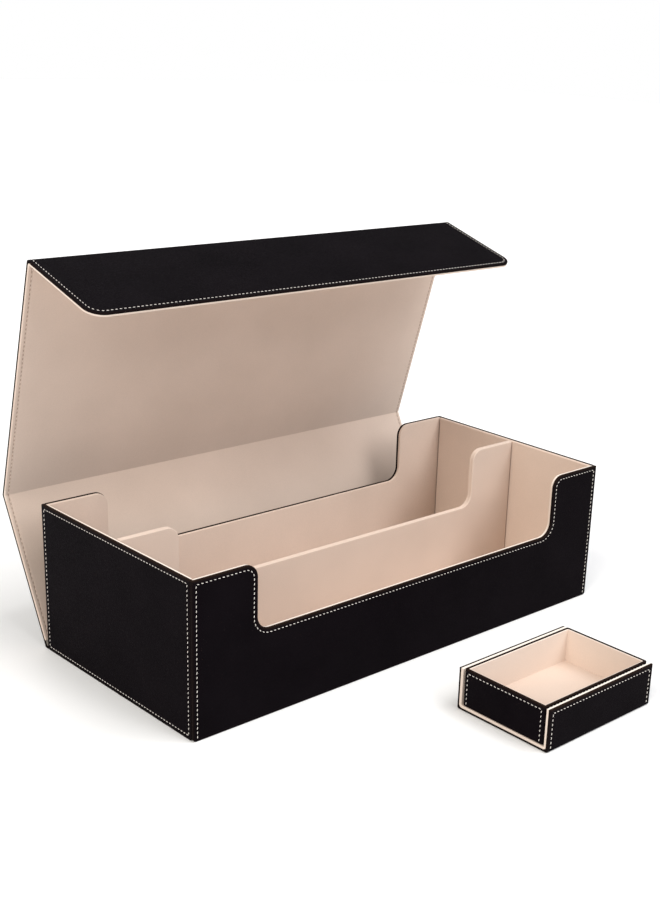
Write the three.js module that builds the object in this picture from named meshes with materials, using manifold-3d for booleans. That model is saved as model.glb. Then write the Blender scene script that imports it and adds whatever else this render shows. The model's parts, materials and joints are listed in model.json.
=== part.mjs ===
// Card deck box: an open tray in two rows under a wrap-over lid with a magnetic flap,
// and the small sleeve with its own tray that goes inside a row.
// Every panel is a board, with leatherette turned over its edges outside and a lined panel inside.
// Millimetres. +X runs along the box, +Y goes to the lid's hinge, +Z is up.
// The origin is the centre of the tray's underside.

import * as THREE from 'three';
import { mergeVertices } from 'three/addons/utils/BufferGeometryUtils.js';
import Module from 'manifold-3d';

// The main tray, outside.
const BOX_LENGTH = 352;
const BOX_DEPTH = 160;
const BOX_HEIGHT = 100;

// What a panel is made of, from the outside in.
const LEATHER = 0.6;
const GLUE_GAP = 0.25;
const WALL_BOARD = 0.9;
const WALL_LINING = 1.6;
const LID_BOARD = 0.7;
const LID_LINING = 1.1;

// The finger notch in the front wall, the back wall and the divider.
const NOTCH_SHOULDER = 46;
const NOTCH_DEPTH = 43;
const NOTCH_TOP_RADIUS = 8.7;
const NOTCH_BOTTOM_RADIUS = 9.5;

// The divider between the two rows: a board in a folded cover.
const DIVIDER_COVER = 1.0;
const DIVIDER_BOARD = 1.5;
const DIVIDER_DROP = 0.5;

// The lid, and how far open it stands at rest, in degrees.
const LID_CLEARANCE = 0.3;
const FLAP_HEIGHT = 73;
const FLAP_CORNER_RADIUS = 11;
const HINGE_CLEARANCE = 0.2;
const BACK_LEAN = 26.6;
const TOP_FOLD = 43;
const FLAP_FOLD = 90;

// The disc magnets that hold the flap shut, one under each shoulder of the front wall.
const MAGNET_RADIUS = 6;
const MAGNET_FIT = 0.25;
const MAGNET_FROM_FLAP_EDGE = 13;

// The small tray and the sleeve it slides in, which stand in front of the box.
const SMALL_TRAY_LENGTH = 96.4;
const SMALL_TRAY_WIDTH = 64.4;
const SMALL_TRAY_HEIGHT = 25;
const SMALL_BOARD = 0.6;
const SMALL_TRAY_LINING = 0.7;
const SLEEVE_LINING = 1.5;
const SLEEVE_HEIGHT = 27.8;
const SLEEVE_OVERHANG = 0.3;
const CLEARANCE_BESIDE_TRAY = 1.0;
const CLEARANCE_UNDER_TRAY = 0.3;
const SLEEVE_TO_BOX = 66;
const SLEEVE_ALONG_BOX = 21;

const DISC_SEGMENTS = 32;
const ARC_SEGMENTS = 8;
const CUT_PAST = 2;

// Depths into a panel from its outer face.
const skinDepth = (board) => LEATHER + GLUE_GAP + board;
const liningDepth = (board) => skinDepth(board) + GLUE_GAP;
const BOARD_INSET = LEATHER + GLUE_GAP;
const WALL = liningDepth(WALL_BOARD) + WALL_LINING;
const LID = liningDepth(LID_BOARD) + LID_LINING;
const SLEEVE_WALL = liningDepth(SMALL_BOARD) + SLEEVE_LINING;
const SMALL_TRAY_WALL = liningDepth(SMALL_BOARD) + SMALL_TRAY_LINING;
const SLEEVE_HALF_WIDTH = SMALL_TRAY_WIDTH / 2 + CLEARANCE_BESIDE_TRAY + SLEEVE_WALL;

// The lid's outer corners when it is shut.
const LID_STANDOFF = LID + LID_CLEARANCE;
const BACK_PANEL_LENGTH = BOX_HEIGHT + LID_STANDOFF;
const TOP_PANEL_LENGTH = BOX_DEPTH + 2 * LID_STANDOFF;
const MAGNET_HEIGHT = BACK_PANEL_LENGTH - FLAP_HEIGHT + MAGNET_FROM_FLAP_EDGE;
const MAGNET_X = BOX_LENGTH / 2 - NOTCH_SHOULDER / 2;

const leatherette = new THREE.MeshStandardMaterial({ color: 0x141215, roughness: 0.55, metalness: 0 });
const liningCloth = new THREE.MeshStandardMaterial({ color: 0xd9c0b0, roughness: 0.95, metalness: 0 });
const greyboard = new THREE.MeshStandardMaterial({ color: 0x8d857b, roughness: 0.9, metalness: 0 });
const magnetSteel = new THREE.MeshStandardMaterial({ color: 0xb9bcc2, roughness: 0.3, metalness: 1 });

const wasm = await Module();
wasm.setup();

function toSolid(geometry) {
  const bare = geometry.clone();
  bare.deleteAttribute('normal');
  bare.deleteAttribute('uv');
  const merged = mergeVertices(bare);
  const vertProperties = new Float32Array(merged.attributes.position.array);
  const triVerts = new Uint32Array(merged.index.array);
  return new wasm.Manifold(new wasm.Mesh({ numProp: 3, vertProperties, triVerts }));
}

function toGeometry(solid) {
  const { vertProperties, triVerts } = solid.getMesh();
  const geometry = new THREE.BufferGeometry();
  geometry.setAttribute('position', new THREE.BufferAttribute(vertProperties, 3));
  geometry.setIndex(new THREE.BufferAttribute(triVerts, 1));
  geometry.computeVertexNormals();
  return geometry;
}

function addPiece(group, name, solid, material) {
  const mesh = new THREE.Mesh(toGeometry(solid), material);
  mesh.name = name;
  group.add(mesh);
}

// An outline drawn along a wall (X) and up it (Z), and thick from near to far along Y.
function uprightSlab(outline, near, far) {
  const geometry = new THREE.ExtrudeGeometry(outline, {
    depth: far - near,
    bevelEnabled: false,
    curveSegments: ARC_SEGMENTS,
  });
  geometry.rotateX(Math.PI / 2);
  geometry.translate(0, far, 0);
  return toSolid(geometry);
}

// A cross-section drawn in Y and Z, and extruded along X from -length / 2 to length / 2.
function lengthwiseBar(section, length) {
  const geometry = new THREE.ExtrudeGeometry(section, { depth: length, bevelEnabled: false });
  geometry.applyMatrix4(new THREE.Matrix4().makeBasis(
    new THREE.Vector3(0, 1, 0),
    new THREE.Vector3(0, 0, 1),
    new THREE.Vector3(1, 0, 0),
  ));
  geometry.translate(-length / 2, 0, 0);
  return toSolid(geometry);
}

function block(lengthX, lengthY, bottom, top) {
  const geometry = new THREE.BoxGeometry(lengthX, lengthY, top - bottom);
  geometry.translate(0, 0, (top + bottom) / 2);
  return toSolid(geometry);
}

// A disc that lies in an upright panel, with its axis along Y.
function disc(radius, x, z, near, far) {
  const geometry = new THREE.CylinderGeometry(radius, radius, far - near, DISC_SEGMENTS);
  geometry.translate(x, (near + far) / 2, z);
  return toSolid(geometry);
}

function polygon(points) {
  return new THREE.Shape(points.map(([x, y]) => new THREE.Vector2(x, y)));
}

function rectangle(left, right, bottom, top) {
  return polygon([[left, bottom], [right, bottom], [right, top], [left, top]]);
}

// A rectangle with the finger notch let into its top edge. inset is how far this outline stands
// inside the panel's own, so the notch's arcs keep their centres and only their radii change.
function notchedRectangle(left, right, bottom, top, inset) {
  const side = BOX_LENGTH / 2 - NOTCH_SHOULDER;
  const outer = NOTCH_TOP_RADIUS - inset;
  const inner = NOTCH_BOTTOM_RADIUS + inset;
  const highCentre = top + inset - NOTCH_TOP_RADIUS;
  const lowCentre = BOX_HEIGHT - NOTCH_DEPTH + NOTCH_BOTTOM_RADIUS;
  const shape = new THREE.Shape();
  shape.moveTo(left, bottom);
  shape.lineTo(right, bottom);
  shape.lineTo(right, top);
  shape.lineTo(side + NOTCH_TOP_RADIUS, top);
  shape.absarc(side + NOTCH_TOP_RADIUS, highCentre, outer, Math.PI / 2, Math.PI, false);
  shape.absarc(side - NOTCH_BOTTOM_RADIUS, lowCentre, inner, 0, -Math.PI / 2, true);
  shape.absarc(-side + NOTCH_BOTTOM_RADIUS, lowCentre, inner, -Math.PI / 2, -Math.PI, true);
  shape.absarc(-side - NOTCH_TOP_RADIUS, highCentre, outer, 0, Math.PI / 2, false);
  shape.lineTo(left, top);
  return shape;
}

const magnetPlaces = [['left', -MAGNET_X], ['right', MAGNET_X]];

// One wall of the tray in its own frame: x along it, z up, and y inwards from its outer face.
// The skin is a shallow pan that holds the board, and the lining closes it.
function makeWall(name, left, right, liningLeft, liningRight, notched, magnetic) {
  const wall = new THREE.Group();
  const outline = (inset) => (notched
    ? notchedRectangle(left + inset, right - inset, inset, BOX_HEIGHT - inset, inset)
    : rectangle(left + inset, right - inset, inset, BOX_HEIGHT - inset));
  const liningBottom = WALL + GLUE_GAP;
  const liningOutline = notched
    ? notchedRectangle(liningLeft, liningRight, liningBottom, BOX_HEIGHT, 0)
    : rectangle(liningLeft, liningRight, liningBottom, BOX_HEIGHT);
  const panDepth = skinDepth(WALL_BOARD);
  const pocket = uprightSlab(outline(LEATHER), LEATHER, panDepth + CUT_PAST);
  addPiece(wall, `${name}_skin`, uprightSlab(outline(0), 0, panDepth).subtract(pocket), leatherette);
  let board = uprightSlab(outline(BOARD_INSET), BOARD_INSET, panDepth);
  if (magnetic) {
    for (const [side, x] of magnetPlaces) {
      const hole = disc(MAGNET_RADIUS + MAGNET_FIT, x, MAGNET_HEIGHT, 0, WALL);
      board = board.subtract(hole);
      const magnet = disc(MAGNET_RADIUS, x, MAGNET_HEIGHT, BOARD_INSET, panDepth);
      addPiece(wall, `${name}_magnet_${side}`, magnet, magnetSteel);
    }
  }
  addPiece(wall, `${name}_board`, board, greyboard);
  const lining = uprightSlab(liningOutline, liningDepth(WALL_BOARD), WALL);
  addPiece(wall, `${name}_lining`, lining, liningCloth);
  return wall;
}

// The front wall runs the full length. The end walls butt behind it and reach the rear edge,
// and the back wall stands between them.
function makeTray() {
  const tray = new THREE.Group();
  const halfLength = BOX_LENGTH / 2;
  const halfDepth = BOX_DEPTH / 2;
  const behindSkin = skinDepth(WALL_BOARD) + GLUE_GAP;
  const betweenEnds = halfLength - behindSkin;
  const betweenWalls = halfDepth - behindSkin;
  const betweenLinings = halfDepth - WALL - GLUE_GAP;

  const front = makeWall('front', -halfLength, halfLength, -betweenEnds, betweenEnds, true, true);
  front.position.y = -halfDepth;
  const back = makeWall('back', -betweenEnds, betweenEnds, -betweenEnds, betweenEnds, true, false);
  back.position.y = halfDepth;
  back.rotation.z = Math.PI;
  const left = makeWall('left_end', -halfDepth, betweenWalls, -betweenLinings, betweenLinings, false, false);
  left.position.x = -halfLength;
  left.rotation.z = -Math.PI / 2;
  const right = makeWall('right_end', -betweenWalls, halfDepth, -betweenLinings, betweenLinings, false, false);
  right.position.x = halfLength;
  right.rotation.z = Math.PI / 2;
  tray.add(front, back, left, right);

  const plan = (inset, bottom, top) => block(
    2 * (betweenEnds - inset),
    2 * (betweenWalls - inset),
    bottom,
    top,
  );
  const panDepth = skinDepth(WALL_BOARD);
  const pocket = plan(LEATHER, LEATHER, panDepth + CUT_PAST);
  addPiece(tray, 'base_skin', plan(0, 0, panDepth).subtract(pocket), leatherette);
  addPiece(tray, 'base_board', plan(BOARD_INSET, BOARD_INSET, panDepth), greyboard);
  addPiece(tray, 'base_lining', plan(0, liningDepth(WALL_BOARD), WALL), liningCloth);
  return tray;
}

// The cover is folded over the board from above, so its pocket is open at the bottom.
function makeDivider() {
  const divider = new THREE.Group();
  const halfLength = BOX_LENGTH / 2 - WALL - GLUE_GAP;
  const bottom = WALL + GLUE_GAP;
  const top = BOX_HEIGHT - DIVIDER_DROP;
  const boardInset = DIVIDER_COVER + GLUE_GAP;
  const outline = (inset, low) => notchedRectangle(
    -halfLength + inset,
    halfLength - inset,
    low,
    top - inset,
    inset,
  );
  const halfPocket = DIVIDER_BOARD / 2 + GLUE_GAP;
  const halfCover = halfPocket + DIVIDER_COVER;
  const pocket = uprightSlab(outline(DIVIDER_COVER, bottom - CUT_PAST), -halfPocket, halfPocket);
  const cover = uprightSlab(outline(0, bottom), -halfCover, halfCover).subtract(pocket);
  addPiece(divider, 'divider_cover', cover, liningCloth);
  const board = uprightSlab(outline(boardInset, bottom), -DIVIDER_BOARD / 2, DIVIDER_BOARD / 2);
  addPiece(divider, 'divider_board', board, greyboard);
  return divider;
}

// One lid panel, or one layer of it, in the panel's own frame: x across, z along the panel from its
// hinge, and y from 0 at the outer face to minus the depth. Ends at a fold are cut back at 45 degrees.
function panelLayer(length, near, far, inset, mitredStart, mitredEnd) {
  const cutBack = (depth, mitred) => (mitred
    ? depth + HINGE_CLEARANCE + inset * Math.SQRT2
    : inset);
  const section = polygon([
    [-near, cutBack(near, mitredStart)],
    [-near, length - cutBack(near, mitredEnd)],
    [-far, length - cutBack(far, mitredEnd)],
    [-far, cutBack(far, mitredStart)],
  ]);
  return lengthwiseBar(section, BOX_LENGTH - 2 * inset);
}

// The flap's free corners are round.
function roundFreeCorners(solid, inset) {
  const side = BOX_LENGTH / 2 - inset;
  const end = FLAP_HEIGHT - inset;
  const radius = FLAP_CORNER_RADIUS - inset;
  const shape = new THREE.Shape();
  shape.moveTo(-side, -CUT_PAST);
  shape.lineTo(side, -CUT_PAST);
  shape.absarc(side - radius, end - radius, radius, 0, Math.PI / 2, false);
  shape.absarc(-side + radius, end - radius, radius, Math.PI / 2, Math.PI, false);
  return solid.intersect(uprightSlab(shape, -LID - CUT_PAST, CUT_PAST));
}

function makeLidPanel(name, length, mitredStart, mitredEnd, isFlap) {
  const panel = new THREE.Group();
  const panDepth = skinDepth(LID_BOARD);
  const layer = (near, far, inset) => {
    const solid = panelLayer(length, near, far, inset, mitredStart, mitredEnd);
    return isFlap ? roundFreeCorners(solid, inset) : solid;
  };
  const pocket = layer(LEATHER, panDepth + CUT_PAST, LEATHER);
  addPiece(panel, `${name}_skin`, layer(0, panDepth, 0).subtract(pocket), leatherette);
  let board = layer(BOARD_INSET, panDepth, BOARD_INSET);
  if (isFlap) {
    const magnetAlong = length - MAGNET_FROM_FLAP_EDGE;
    for (const [side, x] of magnetPlaces) {
      const hole = disc(MAGNET_RADIUS + MAGNET_FIT, x, magnetAlong, -LID, 0);
      board = board.subtract(hole);
      const magnet = disc(MAGNET_RADIUS, x, magnetAlong, -panDepth, -BOARD_INSET);
      addPiece(panel, `${name}_magnet_${side}`, magnet, magnetSteel);
    }
  }
  addPiece(panel, `${name}_board`, board, greyboard);
  addPiece(panel, `${name}_lining`, layer(liningDepth(LID_BOARD), LID, 0), liningCloth);
  return panel;
}

// Each panel turns about the outer corner of the fold it hangs on.
function makeLid() {
  const back = makeLidPanel('lid_back', BACK_PANEL_LENGTH, false, true, false);
  back.position.y = BOX_DEPTH / 2 + LID_STANDOFF;
  back.rotation.x = -THREE.MathUtils.degToRad(BACK_LEAN);
  const top = makeLidPanel('lid_top', TOP_PANEL_LENGTH, true, true, false);
  top.position.z = BACK_PANEL_LENGTH;
  top.rotation.x = THREE.MathUtils.degToRad(TOP_FOLD);
  const flap = makeLidPanel('flap', FLAP_HEIGHT, true, false, true);
  flap.position.z = TOP_PANEL_LENGTH;
  flap.rotation.x = THREE.MathUtils.degToRad(FLAP_FOLD);
  top.add(flap);
  back.add(top);
  return back;
}

// A channel with a floor and two long sides, open at both short ends and at the top.
function makeSleeve() {
  const sleeve = new THREE.Group();
  const length = SMALL_TRAY_LENGTH + 2 * SLEEVE_OVERHANG;
  const channel = (outer, inner, rimInset, endInset) => lengthwiseBar(polygon([
    [-SLEEVE_HALF_WIDTH + outer, outer],
    [SLEEVE_HALF_WIDTH - outer, outer],
    [SLEEVE_HALF_WIDTH - outer, SLEEVE_HEIGHT - rimInset],
    [SLEEVE_HALF_WIDTH - inner, SLEEVE_HEIGHT - rimInset],
    [SLEEVE_HALF_WIDTH - inner, inner],
    [-SLEEVE_HALF_WIDTH + inner, inner],
    [-SLEEVE_HALF_WIDTH + inner, SLEEVE_HEIGHT - rimInset],
    [-SLEEVE_HALF_WIDTH + outer, SLEEVE_HEIGHT - rimInset],
  ]), length - 2 * endInset);
  const panDepth = skinDepth(SMALL_BOARD);
  const pocket = channel(LEATHER, panDepth + CUT_PAST, LEATHER, LEATHER);
  addPiece(sleeve, 'sleeve_skin', channel(0, panDepth, 0, 0).subtract(pocket), leatherette);
  addPiece(sleeve, 'sleeve_board', channel(BOARD_INSET, panDepth, BOARD_INSET, BOARD_INSET), greyboard);
  addPiece(sleeve, 'sleeve_lining', channel(liningDepth(SMALL_BOARD), SLEEVE_WALL, 0, 0), liningCloth);
  return sleeve;
}

// An open box, each layer one inside the other. The skin is turned over the rim of the board.
function makeSmallTray() {
  const tray = new THREE.Group();
  const core = (inset, top) => block(
    SMALL_TRAY_LENGTH - 2 * inset,
    SMALL_TRAY_WIDTH - 2 * inset,
    inset,
    top,
  );
  const panDepth = skinDepth(SMALL_BOARD);
  const openTop = SMALL_TRAY_HEIGHT + CUT_PAST;
  const skin = core(0, SMALL_TRAY_HEIGHT)
    .subtract(core(LEATHER, SMALL_TRAY_HEIGHT - LEATHER))
    .subtract(core(panDepth, openTop));
  addPiece(tray, 'small_tray_skin', skin, leatherette);
  const board = core(BOARD_INSET, SMALL_TRAY_HEIGHT - BOARD_INSET).subtract(core(panDepth, openTop));
  addPiece(tray, 'small_tray_board', board, greyboard);
  const lining = core(liningDepth(SMALL_BOARD), SMALL_TRAY_HEIGHT).subtract(core(SMALL_TRAY_WALL, openTop));
  addPiece(tray, 'small_tray_lining', lining, liningCloth);
  tray.position.z = SLEEVE_WALL + CLEARANCE_UNDER_TRAY;
  return tray;
}

const cardBox = new THREE.Group();
cardBox.add(makeTray(), makeDivider(), makeLid());

const smallSet = new THREE.Group();
smallSet.add(makeSleeve(), makeSmallTray());
smallSet.position.set(SLEEVE_ALONG_BOX, -BOX_DEPTH / 2 - SLEEVE_TO_BOX - SLEEVE_HALF_WIDTH, 0);
cardBox.add(smallSet);

export default cardBox;
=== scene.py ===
import json
import math

import bmesh
import bpy
import numpy as np
from mathutils import Matrix, Vector


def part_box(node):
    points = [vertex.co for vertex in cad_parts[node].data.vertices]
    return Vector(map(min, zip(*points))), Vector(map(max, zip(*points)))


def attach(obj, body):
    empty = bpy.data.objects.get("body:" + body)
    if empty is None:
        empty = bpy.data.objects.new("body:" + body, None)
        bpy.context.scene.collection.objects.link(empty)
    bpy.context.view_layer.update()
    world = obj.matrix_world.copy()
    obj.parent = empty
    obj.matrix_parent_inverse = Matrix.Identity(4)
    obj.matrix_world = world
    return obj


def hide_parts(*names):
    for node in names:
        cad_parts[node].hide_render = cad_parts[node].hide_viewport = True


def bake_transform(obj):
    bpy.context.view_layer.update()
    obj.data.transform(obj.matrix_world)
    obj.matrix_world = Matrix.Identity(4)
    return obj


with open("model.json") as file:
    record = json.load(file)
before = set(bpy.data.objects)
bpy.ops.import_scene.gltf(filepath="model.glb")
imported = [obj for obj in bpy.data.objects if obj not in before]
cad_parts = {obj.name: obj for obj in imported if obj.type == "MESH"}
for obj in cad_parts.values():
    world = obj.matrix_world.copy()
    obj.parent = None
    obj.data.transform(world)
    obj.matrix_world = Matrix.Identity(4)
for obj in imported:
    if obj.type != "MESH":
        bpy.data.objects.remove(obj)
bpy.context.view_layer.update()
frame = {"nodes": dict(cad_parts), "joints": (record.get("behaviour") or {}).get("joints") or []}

MM = 0.001

# ---------------------------------------------------------------- sizes read from the frame
JOINTS = {joint["name"]: joint for joint in frame["joints"]}


def corners(node):
    """A CAD node's lowest and highest corners as two arrays."""
    low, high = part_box(node)
    return np.array(low), np.array(high)


def extents(node, across, up=2):
    """A CAD node's left, right, low and high along two axes, which are 0, 1 or 2 for X, Y or Z."""
    low, high = corners(node)
    return low[across], high[across], low[up], high[up]


def node_points(node):
    return np.array([vertex.co for vertex in frame["nodes"][node].data.vertices], float)


front_low, front_high = corners("front_skin")
HALF_LENGTH = front_high[0]
HALF_DEPTH = -front_low[1]
WALL_SKIN = front_high[1] - front_low[1]
WALL = corners("front_lining")[1][1] - front_low[1]

# The layers of a panel, the smallest step or radius a mesh keeps, and how near two equal numbers are.
LEATHER = 0.6 * MM
GLUE_GAP = 0.25 * MM
SEAM = 0.05 * MM
TINY = 0.02 * MM
SAME = 1e-6
# A wall's points lower than this above its foot aren't part of its notch.
ABOVE_FOOT = 10 * MM


def read_notch(node):
    """The finger notch's side, floor and two radii, from the outer face of a notched wall."""
    points = node_points(node)
    face = points[np.abs(points[:, 1] - points[:, 1].min()) < SAME]
    face = face[(face[:, 0] > 0) & (face[:, 2] > face[:, 2].min() + ABOVE_FOOT)]
    top, floor = face[:, 2].max(), face[:, 2].min()
    rim_end = face[np.abs(face[:, 2] - top) < SAME][:, 0].min()
    floor_end = face[np.abs(face[:, 2] - floor) < SAME][:, 0].max()
    spans = {}
    for x, _, z in face:
        if floor_end + SAME < x < rim_end - SAME:
            spans.setdefault(round(x, 6), []).append(z)
    side = max(spans, key=lambda x: max(spans[x]) - min(spans[x]))
    return {"side": side, "floor": floor, "top_radius": rim_end - side, "low_radius": side - floor_end}


NOTCH = read_notch("front_skin")

# ---------------------------------------------------------------- camera
CAMERA_PLACE = Vector((-0.586303, -0.660295, 0.396254))
CAMERA_AZIMUTH = -45.386
CAMERA_ELEVATION = 20.012
CAMERA_ROLL = 2.875
CAMERA_LENS = 55.405
CAMERA_SHIFT = (-0.10355, 0.08022)
CAMERA_RANGE = (0.01, 50)


def make_camera():
    azimuth, elevation, roll = (math.radians(a) for a in (CAMERA_AZIMUTH, CAMERA_ELEVATION, CAMERA_ROLL))
    forward = Vector((
        -math.sin(azimuth) * math.cos(elevation),
        math.cos(azimuth) * math.cos(elevation),
        -math.sin(elevation),
    ))
    right = forward.cross(Vector((0, 0, 1))).normalized()
    up = right.cross(forward)
    turned_right = math.cos(roll) * right + math.sin(roll) * up
    turned_up = -math.sin(roll) * right + math.cos(roll) * up
    camera = bpy.data.objects.new("camera", bpy.data.cameras.new("camera"))
    bpy.context.scene.collection.objects.link(camera)
    turn = Matrix((turned_right, turned_up, -forward)).transposed()
    camera.matrix_world = Matrix.Translation(CAMERA_PLACE) @ turn.to_4x4()
    camera.data.lens = CAMERA_LENS
    camera.data.shift_x, camera.data.shift_y = CAMERA_SHIFT
    camera.data.clip_start, camera.data.clip_end = CAMERA_RANGE
    bpy.context.scene.camera = camera


make_camera()

# ---------------------------------------------------------------- materials
# The part of a noise's range that most of its values lie in.
MOTTLE = (0.3, 0.7)

# Colours, as (dark, light) pairs and single tones.
BLACK_TONES = ((0.0032, 0.0022, 0.0031), (0.0048, 0.0034, 0.0046))
# A painted highlight: the brown that the leather's turned edges show where they catch the light.
BLACK_RIM_HIGHLIGHT = (0.019, 0.011, 0.008)
BEIGE_TONES = ((0.64, 0.515, 0.435), (0.70, 0.565, 0.48))
# Painted shade in the lining's stitch groove.
BEIGE_GROOVE_SHADE = (0.30, 0.20, 0.15)
# A painted highlight: the pale tone of the lining's edges where they catch the light.
BEIGE_RIM_HIGHLIGHT = (0.88, 0.80, 0.72)
NAP_TONES = ((0.88, 0.88, 0.88), (1.0, 1.0, 1.0))
WHITE_THREAD_TONES = ((0.62, 0.57, 0.52), (0.78, 0.74, 0.69))
BEIGE_THREAD_TONES = ((0.64, 0.52, 0.43), (0.78, 0.65, 0.56))
BOARD_TONES = ((0.34, 0.31, 0.27), (0.47, 0.44, 0.40))
BOARD_FLECKS = (0.35, 0.65)
STEEL_TONES = ((0.62, 0.62, 0.63), (0.74, 0.74, 0.73))

# Noises, as scale, detail and roughness. Scales are how many to a metre.
CLOUD = (28, 3)
CLOTH_CLOUD = (16, 3)
WRINKLES = (420, 3, 0.6)
LEATHER_WAVES = (22, 2)
NAP = (1500, 3, 0.7)
FUZZ = (2200, 4, 0.7)
WEAVE = (260, 3, 0.6)
CLOTH_WAVES = (26, 2)
FIBRES = (1600, 2)
TWIST = (4200, 3)
PULP = (900, 4, 0.7)
PULP_GRAIN = (1500, 3)
BRUSHING = (300, 3)
PITS = (900, 2)
PORES = 1100
PORE_EDGE = 0.28
NAP_STRENGTH = 0.6
# How strongly the painted shade darkens the lining's stitch groove.
GROOVE_SHADE_STRENGTH = 0.8

# Bumps, as height and strength.
PORE_BUMP = (0.08 * MM, 0.8)
WRINKLE_BUMP = (0.14 * MM, 0.6)
LEATHER_WAVE_BUMP = (0.9 * MM, 0.35)
FUZZ_BUMP = (0.10 * MM, 0.6)
WEAVE_BUMP = (0.12 * MM, 0.35)
CLOTH_WAVE_BUMP = (1.0 * MM, 0.35)
TWIST_BUMP = (0.08 * MM, 0.7)
PULP_BUMP = (0.08 * MM, 0.5)
PIT_BUMP = (0.03 * MM, 0.4)

# Roughness, as a noise's scale and detail, then the lowest and the highest value.
LEATHER_ROUGH = (900, 2, 0.42, 0.56)
CLOTH_ROUGH = (600, 2, 0.86, 0.97)
THREAD_ROUGH = (900, 2, 0.55, 0.75)
BOARD_ROUGH = (400, 2, 0.85, 0.95)
STEEL_ROUGH = (700, 3, 0.22, 0.38)

# Values that are the same all over a material.
LEATHER_EVEN = {"Specular IOR Level": 0.010}
CLOTH_EVEN = {
    "Specular IOR Level": 0.12,
    "Sheen Weight": 0.12,
    "Sheen Roughness": 0.55,
    "Sheen Tint": (1.0, 0.9, 0.82, 1),
}
THREAD_EVEN = {"Specular IOR Level": 0.3, "Sheen Weight": 0.2}
BOARD_EVEN = {"Specular IOR Level": 0.1}
STEEL_EVEN = {"Metallic": 1.0}


class Shader:
    """A material's node tree, with short calls for what the materials here share."""

    def __init__(self, name, even):
        self.material = bpy.data.materials.new(name)
        self.material.use_nodes = True
        self.nodes = self.material.node_tree.nodes
        self.links = self.material.node_tree.links
        self.surface = self.nodes["Principled BSDF"]
        for socket, value in even.items():
            self.surface.inputs[socket].default_value = value
        self.place = self.node("ShaderNodeTexCoord").outputs["Object"]

    def node(self, kind, **values):
        made = self.nodes.new(kind)
        for key, value in values.items():
            if key in made.inputs:
                made.inputs[key].default_value = value
            else:
                setattr(made, key, value)
        return made

    def link(self, source, target):
        self.links.new(source, target)

    def noise(self, scale, detail, roughness=0.5):
        made = self.node("ShaderNodeTexNoise", Scale=scale, Detail=detail, Roughness=roughness)
        self.link(self.place, made.inputs["Vector"])
        return made.outputs["Fac"]

    def cells(self, scale):
        made = self.node("ShaderNodeTexVoronoi", Scale=scale, feature="DISTANCE_TO_EDGE")
        self.link(self.place, made.inputs["Vector"])
        return made.outputs["Distance"]

    def tones(self, source, dark, light, span=MOTTLE):
        """A colour between two tones."""
        made = self.node("ShaderNodeValToRGB")
        for element, position, colour in zip(made.color_ramp.elements, span, (dark, light)):
            element.position = position
            element.color = (*colour, 1)
        self.link(source, made.inputs["Fac"])
        return made.outputs["Color"]

    def range(self, source, low, high, to_low, to_high):
        made = self.node("ShaderNodeMapRange")
        for key, value in zip(("From Min", "From Max", "To Min", "To Max"), (low, high, to_low, to_high)):
            made.inputs[key].default_value = value
        self.link(source, made.inputs["Value"])
        return made.outputs["Result"]

    def attribute(self, name):
        return self.node("ShaderNodeAttribute", attribute_name=name).outputs["Fac"]

    def mix(self, amount, first, second, kind="MIX"):
        """amount, first and second are each a node's output or a plain value."""
        made = self.node("ShaderNodeMix", data_type="RGBA", blend_type=kind)
        if hasattr(amount, "node"):
            self.link(amount, made.inputs["Factor"])
        else:
            made.inputs["Factor"].default_value = amount
        for value, socket in ((first, made.inputs["A"]), (second, made.inputs["B"])):
            if hasattr(value, "node"):
                self.link(value, socket)
            else:
                socket.default_value = (*value, 1)
        return made.outputs["Result"]

    def rough(self, scale, detail, low, high):
        """Roughness that varies gently over the surface."""
        uneven = self.range(self.noise(scale, detail), *MOTTLE, low, high)
        self.link(uneven, self.surface.inputs["Roughness"])

    def bump(self, height, distance, strength, after=None):
        made = self.node("ShaderNodeBump", Strength=strength, Distance=distance)
        self.link(height, made.inputs["Height"])
        if after is not None:
            self.link(after, made.inputs["Normal"])
        return made.outputs["Normal"]


def leatherette():
    s = Shader("leatherette_black", LEATHER_EVEN)
    colour = s.tones(s.noise(*CLOUD), *BLACK_TONES)
    # The turned edges get a painted brown highlight.
    highlighted_rim = s.mix(s.attribute("rim"), colour, BLACK_RIM_HIGHLIGHT)
    s.link(highlighted_rim, s.surface.inputs["Base Color"])
    s.rough(*LEATHER_ROUGH)
    grain = s.range(s.cells(PORES), 0.0, PORE_EDGE, 0.0, 1.0)
    pores = s.bump(grain, *PORE_BUMP)
    wrinkle = s.bump(s.noise(*WRINKLES), *WRINKLE_BUMP, pores)
    wave = s.bump(s.noise(*LEATHER_WAVES), *LEATHER_WAVE_BUMP, wrinkle)
    s.link(wave, s.surface.inputs["Normal"])
    return s.material


def microfibre():
    s = Shader("microfibre_beige", CLOTH_EVEN)
    colour = s.tones(s.noise(*CLOTH_CLOUD), *BEIGE_TONES)
    nap = s.tones(s.noise(*NAP), *NAP_TONES)
    speckled = s.mix(NAP_STRENGTH, colour, nap, "MULTIPLY")
    # The stitch groove in the lining gets painted shade.
    groove = s.range(s.attribute("groove"), 0, 1, 0, GROOVE_SHADE_STRENGTH)
    groove_shaded = s.mix(groove, speckled, BEIGE_GROOVE_SHADE)
    # The lining's edges get a painted pale highlight.
    highlighted_cloth = s.mix(s.attribute("rim"), groove_shaded, BEIGE_RIM_HIGHLIGHT)
    s.link(highlighted_cloth, s.surface.inputs["Base Color"])
    s.rough(*CLOTH_ROUGH)
    fuzz = s.bump(s.noise(*FUZZ), *FUZZ_BUMP)
    weave = s.bump(s.noise(*WEAVE), *WEAVE_BUMP, fuzz)
    wave = s.bump(s.noise(*CLOTH_WAVES), *CLOTH_WAVE_BUMP, weave)
    s.link(wave, s.surface.inputs["Normal"])
    return s.material


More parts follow.
